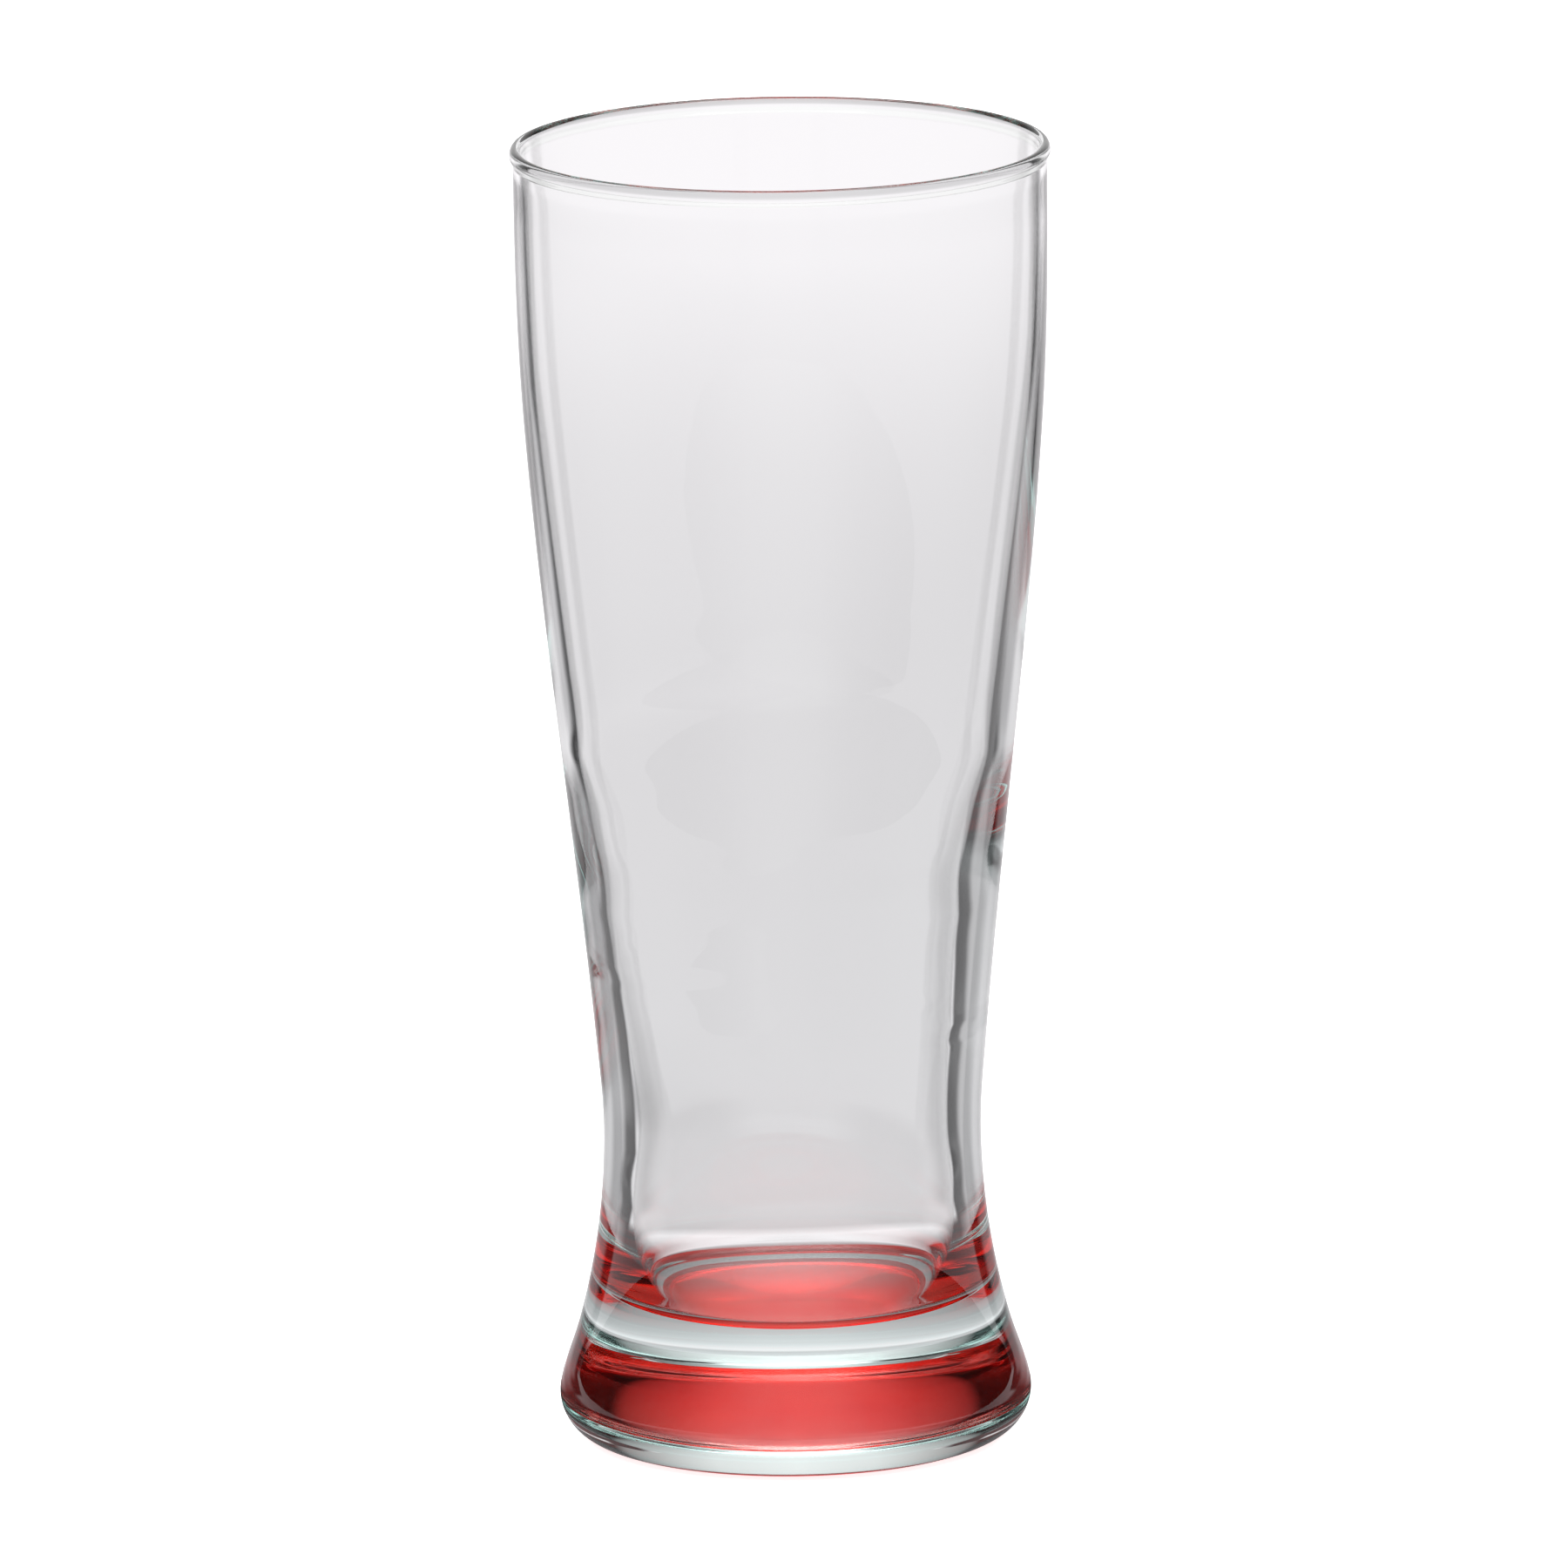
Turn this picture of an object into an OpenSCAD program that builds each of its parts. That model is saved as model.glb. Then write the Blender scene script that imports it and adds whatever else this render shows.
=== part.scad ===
// Tall pilsner glass: a clear one-piece glass on a thick foot, with a thin red coat under the foot.
// The origin is the middle of the resting plane, and +Z runs up the axis of the glass.

/* [Overall] */
// Height from the table to the top of the rim
height = 188; // [170:1:220]
// Widest diameter of the foot, at its round heel
foot_d = 67.7; // [64:0.1:74]
// Widest diameter of the rim, across its rolled bead
rim_d = 77; // [76.6:0.1:84]

/* [Foot] */
// Radius of the round heel between the underside and the side of the foot
heel_round = 6.5; // [4:0.1:8]
// How far above its widest line the heel's round runs on, in degrees
heel_turn = 9; // [4:1:14]
// Height of the line where the foot's side starts to draw in towards the waist
ankle_h = 16.3; // [13:0.1:22]
// Diameter of the foot at that line
ankle_d = 62.1; // [58:0.1:64]
// Lean of the side at that line, outward run for each step up
ankle_lean_share = -0.285; // [-0.4:0.005:-0.15]

/* [Waist and bowl] */
// Height of the narrowest line of the glass
waist_h = 44.9; // [40:0.1:50]
// Diameter at the narrowest line
waist_d = 54.1; // [48:0.1:55.5]
// Height of the line where the bowl's long straight flare starts
calf_h = 58.2; // [54:0.1:70]
// Diameter where the flare starts
calf_d = 55.9; // [54.1:0.1:60]
// Lean of the wall where the flare starts
calf_lean_share = 0.09; // [0.06:0.001:0.14]
// Drop from the top of the rim to the line where the flare dies out
shoulder_drop = 41.1; // [30:0.1:55]
// Diameter where the flare dies out
shoulder_d = 73.8; // [69:0.1:75.5]
// Lean of the wall where the flare dies out
shoulder_lean_share = 0.074; // [0.04:0.001:0.12]
// Drop from the top of the rim to the line where the bead starts
lip_drop = 2.7; // [2.6:0.1:5]
// Outside diameter of the wall just under the bead
lip_d = 76; // [74:0.1:76.4]

/* [Rim bead] */
// Width of the rolled bead, from its inner side to its outer side
bead_w = 1.6; // [1.2:0.1:2.4]
// Height of the rolled bead
bead_h = 2.5; // [1.6:0.1:2.6]

/* [Wall thickness] */
// Wall thickness at the top of the well's round corner, where the well is narrowest
well_wall = 7.3; // [5.5:0.1:9]
// Wall thickness at the waist
waist_wall = 4.4; // [3:0.1:5.5]
// Height of the thick band that the blown glass settled into
thick_h = 79; // [70:1:88]
// Wall thickness there
thick_wall = 4.5; // [2.5:0.1:5.5]
// Height where the wall has thinned again above the thick band
thin_h = 102; // [92:1:112]
// Wall thickness there
thin_wall = 2.8; // [1.8:0.1:3.5]
// Thinning of the wall there, change of thickness for each step up
thin_lean_share = -0.005; // [-0.03:0.001:0]
// Drop from the top of the rim to the line where the wall is thinnest
slim_drop = 10; // [6:1:30]
// Wall thickness there
slim_wall = 1.15; // [0.6:0.05:1.6]
// Wall thickness just under the bead
lip_wall = 1.1; // [0.6:0.05:1.4]

/* [Well] */
// Thickness of the solid foot under the edge of the well's floor
base_t = 19.4; // [14:0.1:24]
// Rise of the well's floor from its edge to its middle
floor_dome = 0.6; // [0.1:0.1:2]
// Width of the round corner between the well's floor and its wall
corner_w = 4.2; // [2:0.1:8]
// Height of that round corner
corner_h = 2.6; // [0.8:0.1:5]
// Lean of the well's wall just above the corner, outward run for each step up
well_lean_share = 0.28; // [0:0.01:0.5]

/* [Underside and coat] */
// Radius of the shallow flat recess under the foot
recess_r = 25.5; // [18:0.1:25.8]
// Depth of the recess above the resting ring
recess_h = 0.3; // [0.1:0.05:1]
// Inner radius of the flat ring that the glass rests on
ring_r = 26; // [25.9:0.1:26.5]
// Thickness of the red coat
coat_t = 0.15; // [0.05:0.01:0.4]
// How far the coat climbs the round heel from the resting ring, in degrees
coat_climb = 25; // [5:1:50]

/* [Hidden] */

// Steps round the axis, and along each curve of the outline
round_steps = 180;
heel_steps = 10;
wall_steps = 60;
bead_steps = 18;
corner_steps = 12;
dome_steps = 8;

// Straight down, in the degrees that the outline's arcs are measured in
down = -90;

heel_r = foot_d / 2 - heel_round;
heel_top_h = heel_round * (1 + sin(heel_turn));
shoulder_h = height - shoulder_drop;
lip_h = height - lip_drop;
corner_top_h = base_t + corner_h;
bead_r = (rim_d - bead_w) / 2;
bead_mid_h = height - bead_h / 2;

// Outside of the glass: heights, radii and leans of the lines that its curve runs through
form_h = [heel_top_h, ankle_h, waist_h, calf_h, shoulder_h, lip_h];
form_r = [heel_r + heel_round * cos(heel_turn), ankle_d / 2, waist_d / 2, calf_d / 2, shoulder_d / 2, lip_d / 2];
form_lean_shares = [-tan(heel_turn), ankle_lean_share, 0, calf_lean_share, shoulder_lean_share, 0];

// Stretch of a curve that holds a given height
function stretch(at, places, i = 0) =
    i == len(places) - 2 || at < places[i + 1] ? i : stretch(at, places, i + 1);

// Cubic curve that meets each value with its lean
function curve(at, places, values, leans) =
    let (
        i = stretch(at, places),
        run = places[i + 1] - places[i],
        t = (at - places[i]) / run,
        rise = t * t * (3 - 2 * t)
    )
    values[i] + (values[i + 1] - values[i]) * rise
    + run * t * (1 - t) * (leans[i] * (1 - t) - leans[i + 1] * t);

// Lean of that curve at a given height
function lean(at, places, values, leans) =
    let (
        i = stretch(at, places),
        run = places[i + 1] - places[i],
        t = (at - places[i]) / run
    )
    (values[i + 1] - values[i]) * 6 * t * (1 - t) / run
    + (1 - 2 * t) * (leans[i] * (1 - t) - leans[i + 1] * t)
    - t * (1 - t) * (leans[i] + leans[i + 1]);

// Thickness of the wall along the same height: the well's wall has a lean of its own at its foot
side_lean_share = lean(corner_top_h, form_h, form_r, form_lean_shares);
wall_h = [corner_top_h, waist_h, thick_h, thin_h, height - slim_drop, lip_h];
wall_t = [well_wall, waist_wall, thick_wall, thin_wall, slim_wall, lip_wall];
wall_lean_shares = [side_lean_share - well_lean_share, 0, 0, thin_lean_share, 0, 0];

function outer_r(h) = curve(h, form_h, form_r, form_lean_shares);
function inner_r(h) = outer_r(h) - curve(h, wall_h, wall_t, wall_lean_shares);

// Points of an elliptic arc in the outline's plane, from one angle to another
function arc(r, h, across, up, from, to, steps) =
    [for (i = [0 : steps]) let (a = from + (to - from) * i / steps) [r + across * cos(a), h + up * sin(a)]];

// Underside line, at a given thickness inside the outer face: recess, resting ring and lower heel
function underside(inset) = concat(
    [[0, recess_h + inset], [recess_r, recess_h + inset], [ring_r, inset]],
    arc(heel_r, heel_round, heel_round - inset, heel_round - inset, down, down + coat_climb, heel_steps)
);

// Rise of the well's floor at a share of its radius, level at the edge and in the middle
function dome_rise(share) = floor_dome * pow(1 - pow(share, 2), 2);

function reversed(points) = [for (i = [len(points) - 1 : -1 : 0]) points[i]];

// Clear glass, with its solid foot, waisted bowl and rolled rim bead
module glass_body() {
    bowl_step = (lip_h - heel_top_h) / wall_steps;
    well_step = (lip_h - corner_top_h) / wall_steps;
    floor_r = inner_r(corner_top_h) - corner_w;
    color([0.84, 0.93, 0.90, 0.45])
    rotate_extrude($fn = round_steps)
    polygon(concat(
        underside(coat_t),
        arc(heel_r, heel_round, heel_round, heel_round, down + coat_climb, heel_turn, heel_steps),
        [for (i = [1 : wall_steps]) let (h = heel_top_h + bowl_step * i) [outer_r(h), h]],
        arc(bead_r, bead_mid_h, bead_w / 2, bead_h / 2, 0, -2 * down, bead_steps),
        [for (i = [wall_steps : -1 : 1]) let (h = corner_top_h + well_step * i) [inner_r(h), h]],
        arc(floor_r, corner_top_h, corner_w, corner_h, 0, down, corner_steps),
        [for (i = [1 : dome_steps]) let (r = floor_r * (1 - i / dome_steps)) [r, base_t + dome_rise(r / floor_r)]]
    ));
}

// Translucent red coat on the underside, up onto the lower heel
module red_base_coat() {
    color([0.78, 0.04, 0.05])
    rotate_extrude($fn = round_steps)
    polygon(concat(underside(0), reversed(underside(coat_t))));
}

glass_body();
red_base_coat();
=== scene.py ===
import math

import bpy
import numpy as np
from mathutils import Matrix


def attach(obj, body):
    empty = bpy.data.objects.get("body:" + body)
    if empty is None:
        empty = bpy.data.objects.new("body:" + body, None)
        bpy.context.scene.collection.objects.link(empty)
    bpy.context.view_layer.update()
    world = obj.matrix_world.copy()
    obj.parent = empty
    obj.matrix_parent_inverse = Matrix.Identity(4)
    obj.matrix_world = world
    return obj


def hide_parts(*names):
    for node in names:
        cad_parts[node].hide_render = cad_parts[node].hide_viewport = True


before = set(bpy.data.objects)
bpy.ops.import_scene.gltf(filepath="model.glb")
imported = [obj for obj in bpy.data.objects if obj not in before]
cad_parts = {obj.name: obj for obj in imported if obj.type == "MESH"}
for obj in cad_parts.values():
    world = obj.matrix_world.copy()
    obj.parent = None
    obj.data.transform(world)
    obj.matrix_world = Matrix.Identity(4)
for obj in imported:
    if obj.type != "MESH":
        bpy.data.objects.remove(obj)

scene = bpy.context.scene
mm = 0.001
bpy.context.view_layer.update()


# Numbers on a curve

def cubicThrough(at, places, values, leans):
    # piecewise cubic that meets each value with its lean (change of value for each step along)
    places, values, leans = (np.asarray(a, float) for a in (places, values, leans))
    i = np.clip(np.searchsorted(places, at, side="right") - 1, 0, len(places) - 2)
    run = places[i + 1] - places[i]
    t = (at - places[i]) / run
    rise = t * t * (3 - 2 * t)
    bend = run * t * (1 - t) * (leans[i] * (1 - t) - leans[i + 1] * t)
    return values[i] + (values[i + 1] - values[i]) * rise + bend


def arcPoints(r, z, across, up, start, end, count):
    # elliptic arc in the outline's plane: centre plus (across cos a, up sin a)
    a = np.radians(np.linspace(start, end, count))
    return np.stack([r + across * np.cos(a), z + up * np.sin(a)], axis=1)


def smoothStep(t):
    # 0 before 0, 1 after 1, and 3 t^2 - 2 t^3 between them
    t = np.clip(t, 0, 1)
    return t * t * (3 - 2 * t)


# Meshes turned round the axis

def turnOutline(name, outline, around, push=None, pushed=None):
    # the outline (radius, height) is carried round the axis: x = r cos a, y = r sin a, z = h
    # push(a, r, z) is added to the radius of the rows marked in pushed, so that a wall can wander
    a = np.linspace(0, 2 * np.pi, around, endpoint=False)
    r = np.repeat(outline[1:-1, 0][:, None], around, axis=1)
    z = np.repeat(outline[1:-1, 1][:, None], around, axis=1)
    if push is not None:
        r = r + push(a[None, :], r, z) * pushed[1:-1, None]
    rings = np.stack([r * np.cos(a), r * np.sin(a), z], axis=2).reshape(-1, 3)
    poles = np.array([[0, 0, outline[0, 1]], [0, 0, outline[-1, 1]]])
    verts = np.vstack([rings, poles]) * mm

    rows = len(outline) - 2
    i, j = np.meshgrid(np.arange(rows - 1), np.arange(around), indexing="ij")
    k = (j + 1) % around
    quads = np.stack([i * around + j, i * around + k, (i + 1) * around + k, (i + 1) * around + j], axis=2)
    low, high = len(verts) - 2, len(verts) - 1
    j = np.arange(around)
    k = (j + 1) % around
    bottom = np.stack([np.full(around, low), k, j], axis=1)
    last = (rows - 1) * around
    top = np.stack([np.full(around, high), last + j, last + k], axis=1)

    mesh = bpy.data.meshes.new(name)
    mesh.from_pydata(verts.tolist(), [], quads.reshape(-1, 4).tolist() + bottom.tolist() + top.tolist())
    mesh.shade_smooth()
    piece = bpy.data.objects.new(name, mesh)
    scene.collection.objects.link(piece)
    return piece


# Node helpers: an input is another node's output or a plain value

def addNode(tree, kind, inputs=None, **settings):
    node = tree.nodes.new(kind)
    for key, value in settings.items():
        setattr(node, key, value)
    for key, value in (inputs or {}).items():
        socket = node.inputs[key]
        if isinstance(value, bpy.types.NodeSocket):
            tree.links.new(value, socket)
        else:
            socket.default_value = value
    return node


def calculate(tree, operation, *values):
    return addNode(tree, "ShaderNodeMath", dict(enumerate(values)), operation=operation).outputs[0]


def mapStretch(tree, value, stretch, levels=(0.0, 1.0), kind="SMOOTHSTEP"):
    # the first level at the stretch's start and the second at its end
    return addNode(tree, "ShaderNodeMapRange", {
        "Value": value, "From Min": stretch[0], "From Max": stretch[1],
        "To Min": levels[0], "To Max": levels[1]}, interpolation_type=kind).outputs[0]


def mixColours(tree, share, first, second, kind="MIX"):
    # the mix node's colours are its sockets 6 and 7, and its mixed colour is output 2
    return addNode(tree, "ShaderNodeMix", {0: share, 6: first, 7: second},
                   data_type="RGBA", blend_type=kind).outputs[2]


def levelRamp(tree, share, stops):
    # grey level along a share from 0 to 1
    node = addNode(tree, "ShaderNodeValToRGB", {"Fac": share})
    elements = node.color_ramp.elements
    while len(elements) < len(stops):
        elements.new(0.5)
    for element, (place, level) in zip(elements, stops):
        element.position = place
        element.color = (level, level, level, 1)
    return node.outputs["Color"]


def newMaterial(name):
    material = bpy.data.materials.new(name)
    material.use_nodes = True
    material.node_tree.nodes.clear()
    return material, material.node_tree


# Shared effect: a soft cloud of noise between two values

cloud = {
    "roughness": 0.55,
    "distortion": 0.6,
    "noiseStretch": (0.3, 0.7),     # part of the noise's range that runs from low to high
}


def makeCloudGroup():
    group = bpy.data.node_groups.new("softCloud", "ShaderNodeTree")
    for name, kind, start in (("Scale", "Float", 40.0), ("Stretch", "Vector", (1, 1, 1)),
                              ("Detail", "Float", 3.0), ("Low", "Float", 0.0), ("High", "Float", 1.0)):
        socket = group.interface.new_socket(name, in_out="INPUT", socket_type="NodeSocket" + kind)
        socket.default_value = start
    group.interface.new_socket("Value", in_out="OUTPUT", socket_type="NodeSocketFloat")
    given = addNode(group, "NodeGroupInput").outputs
    place = addNode(group, "ShaderNodeTexCoord")
    stretched = addNode(group, "ShaderNodeVectorMath", {0: place.outputs["Object"], 1: given["Stretch"]},
                        operation="MULTIPLY")
    noise = addNode(group, "ShaderNodeTexNoise", {
        "Vector": stretched.outputs[0], "Scale": given["Scale"], "Detail": given["Detail"],
        "Roughness": cloud["roughness"], "Distortion": cloud["distortion"]})
    value = mapStretch(group, noise.outputs["Fac"], cloud["noiseStretch"],
                       (given["Low"], given["High"]), "LINEAR")
    addNode(group, "NodeGroupOutput", {"Value": value})
    return group


cloudGroup = makeCloudGroup()


def addCloud(tree, settings):
    # scale, lowest and highest value, detail, and how far the cloud is stretched along each axis
    names = ("Scale", "Low", "High", "Detail", "Stretch")
    node = addNode(tree, "ShaderNodeGroup", dict(zip(names, settings)), node_tree=cloudGroup)
    return node.outputs["Value"]


# The clear glass, in millimetres

clearGlass = {
    "footDiameter": 67.7,
    "heelRound": 6.5,
    "heelTurn": 9,          # degrees that the heel's round runs on above its widest line
    "ankle": (16.3, 62.1, -0.285),      # height, diameter, lean
    "waist": (44.9, 54.1, 0.0),
    "calf": (58.2, 55.9, 0.09),
    "shoulder": (146.9, 73.8, 0.074),
    "lip": (185.3, 76.0, 0.0),
    "rimDiameter": 77.0,
    "beadWidth": 1.6,
    "beadHeight": 2.5,
    "height": 188.0,
    "baseThickness": 19.4,
    "cornerWidth": 4.2,
    "cornerHeight": 2.6,
    "wellWall": 7.3,        # wall at the top of the well's corner, where the well is narrowest
    "wellLean": 0.28,       # outward lean of the well's wall there
    "floorDome": 0.6,
    "wallPlaces": (44.9, 79, 102, 178, 185.3),
    "wallThickness": (4.4, 4.5, 2.8, 1.15, 1.1),
    "wallLeans": (0, 0, -0.005, 0, 0),
    "recessRadius": 25.5,
    "recessHeight": 0.3,
    "ringRadius": 26.0,
    # faces round the axis, and points along each stretch of the outline
    "around": 240,
    "points": {"recess": 8, "step": 10, "coated": 20, "heel": 30, "outside": 100, "flank": 10, "bead": 30,
               "inside": 150, "corner": 32, "floor": 16},

    # slow waves round the inner wall: turns, pitch, start, depth
    "waves": [(2, 19, 0.6, 0.05), (3, -13, 2.0, 0.035), (5, 31, 4.1, 0.015)],
    "easeTop": 14,          # the waves die out over these heights under the lip and above the well
    "easeFoot": 9,
    # what the wall has more or less than its mean thickness, on the left (-X) and on the right
    "sidePlaces": (22, 34, 45, 57, 65, 72, 80, 87, 95, 103, 114, 130, 150, 170, 185.3),
    "left": (0, 0.3, 0.35, -0.2, -0.65, -0.9, -1.15, -1.1, -0.62, -0.2, -0.02, 0.2, 0.35, 0.35, 0.1),
    "right": (0, 0, 0.05, 0.3, 0.55, 0.62, 0.5, 0.45, 0.62, 0.7, 0.62, 0.5, 0.4, 0.3, 0.1),
    # low steps in the inner wall: azimuth, spread, height, softness, depth
    "steps": [(0.0, 0.55, 61.0, 1.2, -0.16), (math.pi, 0.55, 69.5, 1.2, -0.12)],

    "ior": 1.52,
    "bodyTint": (0.78, 0.985, 0.955, 1),    # the green that deepens with the thickness of the glass
    "bodyTintDensity": 7.5,
    "wipeMarks": (60, 0.0, 0.012, 4, (1, 1, 0.35)),     # cloud of roughness that faint wipe marks give
}

# The red coat under the foot, in millimetres

redCoat = {
    "thickness": 0.15,
    "climb": 25,            # degrees round the heel
    "fadeOver": 12,         # degrees over which the coat thins out at its edge
    "bite": 0.03,           # how far its upper face sits inside the glass

    "deep": (0.88, 0.0012, 0.0012, 1),      # the two reds that cloud its upper face
    "thin": (1.0, 0.022, 0.011, 1),
    "under": (1.0, 0.34, 0.38, 1),          # its lower face: light that goes through once is tinted less
    "streaks": (55, 0.0, 1.0, 5, (1, 1, 1)),
    "dullness": (90, 0.02, 0.10, 4, (1, 1, 1)),
    "ior": 1.06,            # near 1, so that the coat tints and hardly mirrors
}

heelR = clearGlass["footDiameter"] / 2 - clearGlass["heelRound"]
stations = [clearGlass[k] for k in ("ankle", "waist", "calf", "shoulder", "lip")]
turn = math.radians(clearGlass["heelTurn"])
heelTop = clearGlass["heelRound"] * (1 + math.sin(turn))
formPlaces = [heelTop] + [s[0] for s in stations]
formRadii = [heelR + clearGlass["heelRound"] * math.cos(turn)] + [s[1] / 2 for s in stations]
formLeans = [-math.tan(turn)] + [s[2] for s in stations]


def outerRadius(z):
    return cubicThrough(z, formPlaces, formRadii, formLeans)


cornerTop = clearGlass["baseThickness"] + clearGlass["cornerHeight"]
nearby = 0.01
sideLean = float(outerRadius(cornerTop + nearby) - outerRadius(cornerTop - nearby)) / (2 * nearby)
wallPlaces = [cornerTop, *clearGlass["wallPlaces"]]
wallValues = [clearGlass["wellWall"], *clearGlass["wallThickness"]]
wallLeans = [sideLean - clearGlass["wellLean"], *clearGlass["wallLeans"]]


def innerRadius(z):
    return outerRadius(z) - cubicThrough(z, wallPlaces, wallValues, wallLeans)


def undersideOutline(inset):
    # recess floor, eased step down to the resting ring, then the heel's round, at an inset inside the
    # outer face that thins out to nothing where the coat ends
    g, c, points = clearGlass, redCoat, clearGlass["points"]
    r = np.linspace(0, g["recessRadius"], points["recess"])
    recess = np.stack([r, np.full(len(r), g["recessHeight"])], axis=1)
    t = np.linspace(0, 1, points["step"])[1:]
    step = np.stack([g["recessRadius"] + (g["ringRadius"] - g["recessRadius"]) * t,
                     g["recessHeight"] * (1 - smoothStep(t))], axis=1)
    ring = np.array([[(g["ringRadius"] + heelR) / 2, 0.0]])
    flat = np.vstack([recess, step, ring]) + [0, inset]
    a = np.linspace(0, c["climb"], points["coated"])
    radius = g["heelRound"] - inset * smoothStep((c["climb"] - a) / c["fadeOver"])
    turned = np.radians(a - 90)
    heel = np.stack([heelR + radius * np.cos(turned), g["heelRound"] + radius * np.sin(turned)], axis=1)
    return np.vstack([flat, heel])


def glassOutline():
    # underside, heel, side, rim bead, inner wall, corner and floor of the well, as one closed half section
    g, points = clearGlass, clearGlass["points"]
    lipZ, lipR = g["lip"][0], g["lip"][1] / 2
    under = undersideOutline(redCoat["thickness"])
    heel = arcPoints(heelR, g["heelRound"], g["heelRound"], g["heelRound"],
                     redCoat["climb"] - 90, g["heelTurn"], points["heel"])[1:]
    z = np.linspace(heelTop, lipZ, points["outside"])[1:]
    outside = np.stack([outerRadius(z), z], axis=1)
    beadR, beadZ = (g["rimDiameter"] - g["beadWidth"]) / 2, g["height"] - g["beadHeight"] / 2
    z = np.linspace(lipZ, beadZ, points["flank"])[1:-1]
    flank = np.stack([cubicThrough(z, [lipZ, beadZ], [lipR, g["rimDiameter"] / 2], [0, 0]), z], axis=1)
    bead = arcPoints(beadR, beadZ, g["beadWidth"] / 2, g["beadHeight"] / 2, 0, 180, points["bead"])
    z = np.linspace(lipZ, cornerTop, points["inside"])[:-1]
    inside = np.stack([innerRadius(z), z], axis=1)
    floorR = float(innerRadius(cornerTop)) - g["cornerWidth"]
    corner = arcPoints(floorR, cornerTop, g["cornerWidth"], g["cornerHeight"], 0, -90, points["corner"])
    r = np.linspace(floorR, 0, points["floor"])[1:]
    floor = np.stack([r, g["baseThickness"] + g["floorDome"] * (1 - (r / floorR) ** 2) ** 2], axis=1)
    outline = np.vstack([under, heel, outside, flank, bead, inside, corner, floor])
    wanders = np.zeros(len(outline), bool)
    first = len(outline) - len(floor) - len(corner) - len(inside)
    wanders[first:first + len(inside)] = True
    return outline, wanders


def sideShare(a, azimuth, spread):
    # bell curve round an azimuth
    gap = (a - azimuth + np.pi) % (2 * np.pi) - np.pi
    return np.exp(-(gap / spread) ** 2)


def innerWander(a, r, z):
    # the inside of a pressed and blown bowl is never quite round or central: slow sine waves, a thicker
    # side by a cosine round the axis, and two low steps
    g = clearGlass
    off = sum(depth * np.sin(turns * a + z / pitch + start) for turns, pitch, start, depth in g["waves"])
    off = off * smoothStep((g["lip"][0] - z) / g["easeTop"]) * smoothStep((z - cornerTop) / g["easeFoot"])
    left, right = (cubicThrough(z, g["sidePlaces"], g[side], np.gradient(g[side], g["sidePlaces"]))
                   for side in ("left", "right"))
    off = off - (left + right) / 2 - (right - left) / 2 * np.cos(a)
    for azimuth, spread, height, soft, depth in g["steps"]:     # each is half as deep at its own height
        below = smoothStep((height - z) / soft + 0.5) * smoothStep((z - cornerTop) / (height - cornerTop))
        off = off + depth * sideShare(a, azimuth, spread) * below
    return off


def makeGlassMaterial():
    g = clearGlass
    material, tree = newMaterial("clearGreenishGlass")
    shader = addNode(tree, "ShaderNodeBsdfPrincipled", {
        "Base Color": (1, 1, 1, 1), "IOR": g["ior"], "Transmission Weight": 1.0,
        "Roughness": addCloud(tree, g["wipeMarks"])})
    tint = addNode(tree, "ShaderNodeVolumeAbsorption", {
        "Color": g["bodyTint"], "Density": g["bodyTintDensity"]})
    addNode(tree, "ShaderNodeOutputMaterial", {"Surface": shader.outputs[0], "Volume": tint.outputs[0]})
    return material


outline, wanders = glassOutline()
glassPiece = turnOutline("clearGlass", outline, clearGlass["around"], innerWander, wanders)
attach(glassPiece, "root")
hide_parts("glass_body")
glassPiece.data.materials.append(makeGlassMaterial())
print("glass faces", len(glassPiece.data.polygons))


def coatOutline():
    # the underside's line, then back along the same line at the coat's thickness
    lower = undersideOutline(0)
    upper = undersideOutline(redCoat["thickness"]) + [0, redCoat["bite"]]
    return np.vstack([lower, upper[::-1]])


def makeCoatMaterial():
    c = redCoat
    material, tree = newMaterial("redLacquer")
    colour = mixColours(tree, addCloud(tree, c["streaks"]), c["deep"], c["thin"])
    # a hit from inside turns the normal over, so it is turned back before it tells upper from lower face
    geometry = addNode(tree, "ShaderNodeNewGeometry")
    normal = addNode(tree, "ShaderNodeSeparateXYZ", {0: geometry.outputs["Normal"]})
    side = mapStretch(tree, geometry.outputs["Backfacing"], (0.0, 1.0), (1.0, -1.0), "LINEAR")
    upper = calculate(tree, "GREATER_THAN", calculate(tree, "MULTIPLY", normal.outputs["Z"], side), 0.0)
    shader = addNode(tree, "ShaderNodeBsdfPrincipled", {
        "Base Color": mixColours(tree, upper, c["under"], colour), "IOR": c["ior"],
        "Transmission Weight": 1.0, "Roughness": addCloud(tree, c["dullness"])})
    addNode(tree, "ShaderNodeOutputMaterial", {"Surface": shader.outputs[0]})
    return material


coatPiece = turnOutline("redBaseCoat", coatOutline(), clearGlass["around"])
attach(coatPiece, "root")
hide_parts("red_base_coat")
coatPiece.data.materials.append(makeCoatMaterial())
print("coat faces", len(coatPiece.data.polygons))


# Studio: white to the camera, a bright sweep behind and dark sides for what the glass refracts

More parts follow.
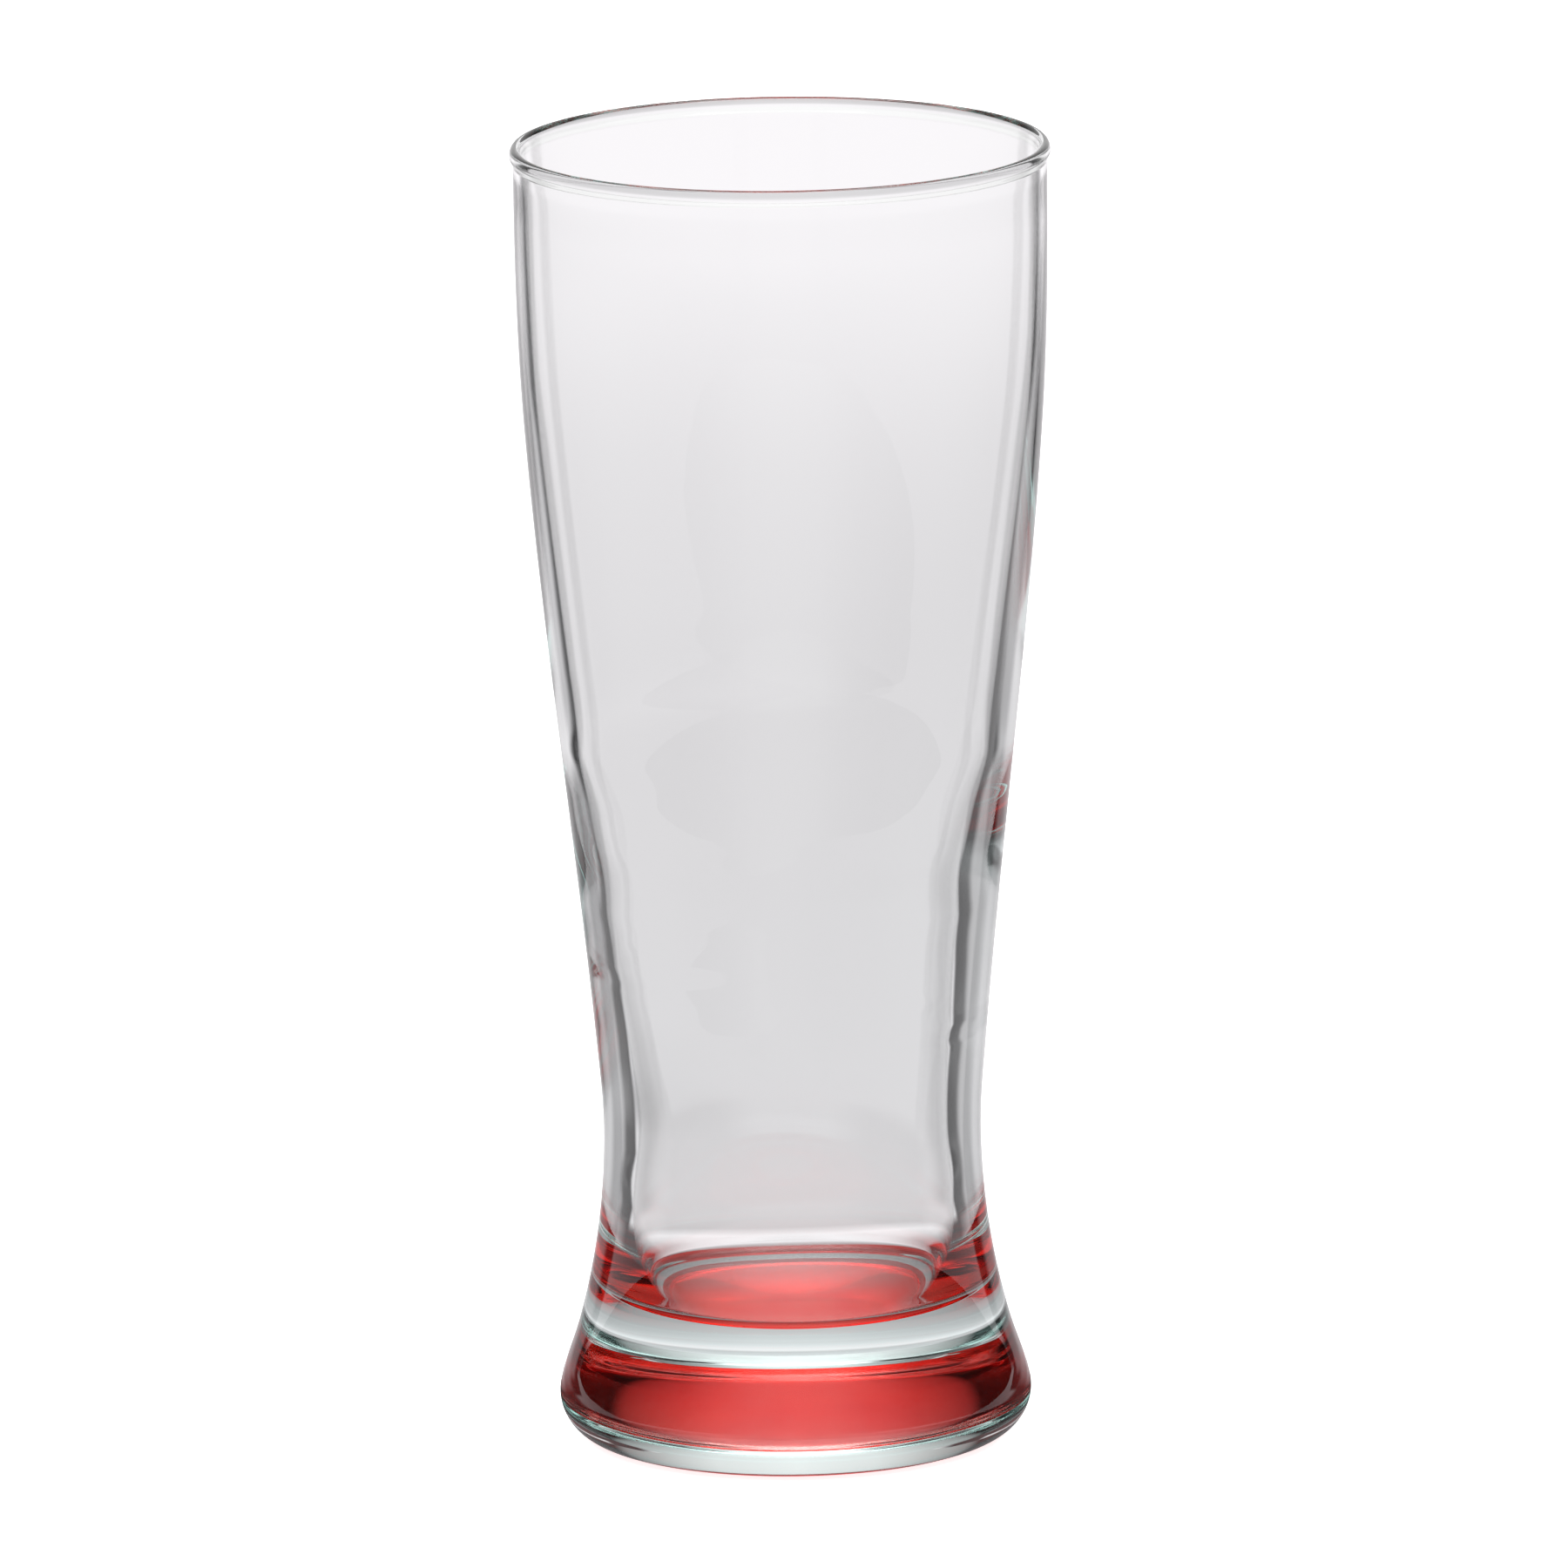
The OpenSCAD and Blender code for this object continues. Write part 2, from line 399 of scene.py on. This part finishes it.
studio = {
    # level of the surround by azimuth in degrees, 0 behind the glass and positive to the right
    "surround": [(-180, 1.0), (-160, 0.95), (-140, 0.45), (-118, 0.12), (-70, 0.02), (-42, 0.008),
                 (-37, 0.28), (-30, 0.45), (-14, 0.86), (0, 0.98), (14, 0.86), (30, 0.45), (37, 0.28),
                 (42, 0.008), (70, 0.02), (118, 0.12), (140, 0.45), (160, 0.95), (180, 1.0)],
    "overheadDegrees": (42, 48),    # the surround turns into the bright ceiling over these elevations
    "overheadLevel": 1.0,
    "white": (1, 1, 1, 1),          # what the camera sees behind the glass

    "floorHalf": 6.0,
    "floorDrop": 0.0002,            # just under the resting ring
    "glow": 0.86,                   # the floor's own light for the camera, besides the lamp's light
    "floorPaint": (0.8, 0.8, 0.8, 1),
    "cast": (1.0, 0.978, 1.0),      # slight cast of the floor that the glass refracts

    # level of the floor close to the glass by distance in metres, a painted shadow: dim under the foot and
    # beside it, with painted light under the foot's middle
    "near": [(0.0, 0.84), (0.012, 0.80), (0.020, 0.48), (0.028, 0.24), (0.037, 0.26), (0.043, 0.40),
             (0.051, 0.58), (0.060, 0.88), (0.067, 1.0), (0.071, 0.84), (0.078, 0.64), (0.1, 0.70)],
    # past the foot's edge this painted shade is dimmed again by degrees from straight behind: dark at its
    # sides
    "footEdge": (0.033, 0.0396),
    "nearTurned": [(0, 1.0), (35, 1.0), (56, 0.1), (115, 0.1), (150, 1.0), (180, 1.0)],
    "nearEdge": (0.104, 0.156),     # the painted shadow of the close floor gives way to the far floor over this distance

    # painted light and shade on the floor that the glass refracts: painted shade close to the glass, a lit
    # strip behind it and painted dark bands beside the strip
    "growStretch": (0.42, 0.95),    # the floor behind grows brighter over these metres
    "growLevels": (0.71, 0.98),
    "fadeDegrees": (17, 30),        # its bright strip changes over these degrees to either side
    "fadeStretch": (0.30, 0.48),    # to the first share close to the glass, the second farther behind it
    "fadeLevels": (0.62, 1.2),
    "bandStretch": (0.22, 0.62),    # a dark band beside it starts at the first angle close to the glass
    "bandDegrees": (44, 28),        # and at the second one farther behind it
    "bandSpan": 14,                 # degrees from its start to its end
    "bandSoft": 4,                  # degrees that its start and its end are blurred by
    "bandEndSoft": 2,
    "bandLevel": 0.045,
    "sideLevel": 0.78,              # beyond the band

    "lampPlace": (0.0, 0.2, 2.2),
    "lampSize": 1.8,
    "lampPower": 26,
}


def makeWorld():
    s = studio
    world = bpy.data.worlds.new("studioSurround")
    world.use_nodes = True
    scene.world = world
    tree = world.node_tree
    tree.nodes.clear()
    place = addNode(tree, "ShaderNodeTexCoord")
    axes = addNode(tree, "ShaderNodeSeparateXYZ", {0: place.outputs["Generated"]})
    turned = calculate(tree, "ARCTAN2", axes.outputs["X"], axes.outputs["Y"])
    share = mapStretch(tree, turned, (-math.pi, math.pi), kind="LINEAR")
    level = levelRamp(tree, share, [((angle + 180) / 360, level) for angle, level in s["surround"]])
    rise = calculate(tree, "ARCSINE", axes.outputs["Z"])
    above = mapStretch(tree, rise, np.radians(s["overheadDegrees"]))
    surround = mixColours(tree, above, level, (s["overheadLevel"],) * 3 + (1,))
    path = addNode(tree, "ShaderNodeLightPath")
    seen = mixColours(tree, path.outputs["Is Camera Ray"], surround, s["white"])
    shader = addNode(tree, "ShaderNodeBackground", {"Color": seen, "Strength": 1.0})
    addNode(tree, "ShaderNodeOutputWorld", {"Surface": shader.outputs[0]})


def paintedShadowCloseFloor(tree, distance, turned):
    # painted shadow of the glass: rings of painted light and shade under and round the foot, dimmed at its
    # sides where they leave it
    s = studio
    reach = s["near"][-1][0]
    rings = levelRamp(tree, calculate(tree, "DIVIDE", distance, reach),
                      [(metres / reach, level) for metres, level in s["near"]])
    paintedSideShade = levelRamp(tree, calculate(tree, "DIVIDE", turned, math.pi),
                        [(angle / 180, level) for angle, level in s["nearTurned"]])
    beside = mapStretch(tree, distance, s["footEdge"], kind="LINEAR")
    return mixColours(tree, beside, rings, paintedSideShade, "MULTIPLY")


def paintedLightFarFloor(tree, behind, distance, turned):
    # painted light and shade: a lit strip behind the glass that grows brighter away from it, a painted
    # dark band at its side, then the plain side
    s = studio
    paintedShadeGrow = mapStretch(tree, behind, s["growStretch"], s["growLevels"])
    faded = mapStretch(tree, distance, s["fadeStretch"], s["fadeLevels"])
    fade = mapStretch(tree, turned, np.radians(s["fadeDegrees"]), (1.0, faded))
    paintedLitStrip = calculate(tree, "MULTIPLY", paintedShadeGrow, fade)
    start = mapStretch(tree, distance, s["bandStretch"], np.radians(s["bandDegrees"]), "LINEAR")

    def crossed(along, soft):
        # 0 before an angle past the band's start, 1 after it
        along, soft = math.radians(along), math.radians(soft)
        stretch = [calculate(tree, "ADD", start, along + way) for way in (-soft, soft)]
        return mapStretch(tree, turned, stretch)

    past = crossed(s["bandSpan"], s["bandEndSoft"])
    aside = mapStretch(tree, past, (0.0, 1.0), (s["bandLevel"], s["sideLevel"]), "LINEAR")
    return mixColours(tree, crossed(0, s["bandSoft"]), paintedLitStrip, aside)


def makeFloor():
    s = studio
    half = s["floorHalf"]
    mesh = bpy.data.meshes.new("studioFloor")
    corners = [(-half, -half), (half, -half), (half, half), (-half, half)]
    mesh.from_pydata([(x, y, -s["floorDrop"]) for x, y in corners], [], [(0, 1, 2, 3)])
    floor = bpy.data.objects.new("studioFloor", mesh)
    scene.collection.objects.link(floor)
    material, tree = newMaterial("studioFloor")
    mesh.materials.append(material)

    place = addNode(tree, "ShaderNodeTexCoord")
    axes = addNode(tree, "ShaderNodeSeparateXYZ", {0: place.outputs["Object"]})
    away = addNode(tree, "ShaderNodeVectorMath", {0: place.outputs["Object"]}, operation="LENGTH")
    behind, distance = axes.outputs["Y"], away.outputs["Value"]
    turned = calculate(tree, "ARCTAN2", calculate(tree, "ABSOLUTE", axes.outputs["X"]), behind)
    # what the glass refracts of the floor is an emission of painted light and shade: the glass's shadow
    # close to it, a lit strip behind and dark sides
    paintedFloorLight = mixColours(tree, mapStretch(tree, distance, s["nearEdge"]),
                         paintedShadowCloseFloor(tree, distance, turned), paintedLightFarFloor(tree, behind, distance, turned))
    tinted = addNode(tree, "ShaderNodeVectorMath", {0: paintedFloorLight, 1: s["cast"]}, operation="MULTIPLY")
    refracted = addNode(tree, "ShaderNodeEmission", {"Color": tinted.outputs[0], "Strength": 1.0})

    glow = addNode(tree, "ShaderNodeEmission", {"Color": s["white"], "Strength": s["glow"]})
    lit = addNode(tree, "ShaderNodeBsdfDiffuse", {"Color": s["floorPaint"]})
    shown = addNode(tree, "ShaderNodeAddShader", {0: glow.outputs[0], 1: lit.outputs[0]})
    path = addNode(tree, "ShaderNodeLightPath")
    mixed = addNode(tree, "ShaderNodeMixShader", {
        0: path.outputs["Is Camera Ray"], 1: refracted.outputs[0], 2: shown.outputs[0]})
    addNode(tree, "ShaderNodeOutputMaterial", {"Surface": mixed.outputs[0]})


def makeSoftbox():
    s = studio
    data = bpy.data.lights.new("overheadSoftbox", "AREA")
    data.shape = "SQUARE"
    data.size = s["lampSize"]
    data.energy = s["lampPower"]
    lamp = bpy.data.objects.new("overheadSoftbox", data)
    lamp.location = s["lampPlace"]
    scene.collection.objects.link(lamp)


makeWorld()
makeFloor()
makeSoftbox()
print("studio made")


photoCamera = {
    "distance": 3.0,        # metres in front of the axis
    "height": 0.730,
    "focalPixels": 24628.6,
    "photoPixels": 1800,
    "sensorWidth": 36,
    "farthest": 100,
    "down": 11.952,         # degrees
    "pan": 0.0108,
    "roll": -0.7482,
    "lightTurns": 64,       # light turns many times inside the thick foot
}


def makeCamera():
    c = photoCamera
    data = bpy.data.cameras.new("photoCamera")
    data.sensor_width = c["sensorWidth"]
    data.lens = c["focalPixels"] * c["sensorWidth"] / c["photoPixels"]
    data.clip_end = c["farthest"]
    camera = bpy.data.objects.new("photoCamera", data)
    scene.collection.objects.link(camera)
    camera.matrix_world = (Matrix.Translation((0, -c["distance"], c["height"]))
                           @ Matrix.Rotation(math.radians(c["pan"]), 4, "Z")
                           @ Matrix.Rotation(math.radians(90 - c["down"]), 4, "X")
                           @ Matrix.Rotation(math.radians(c["roll"]), 4, "Z"))
    scene.camera = camera


makeCamera()
scene.view_settings.view_transform = "Standard"
scene.cycles.max_bounces = photoCamera["lightTurns"]
scene.cycles.transmission_bounces = photoCamera["lightTurns"]
scene.cycles.glossy_bounces = photoCamera["lightTurns"]
print("camera set")
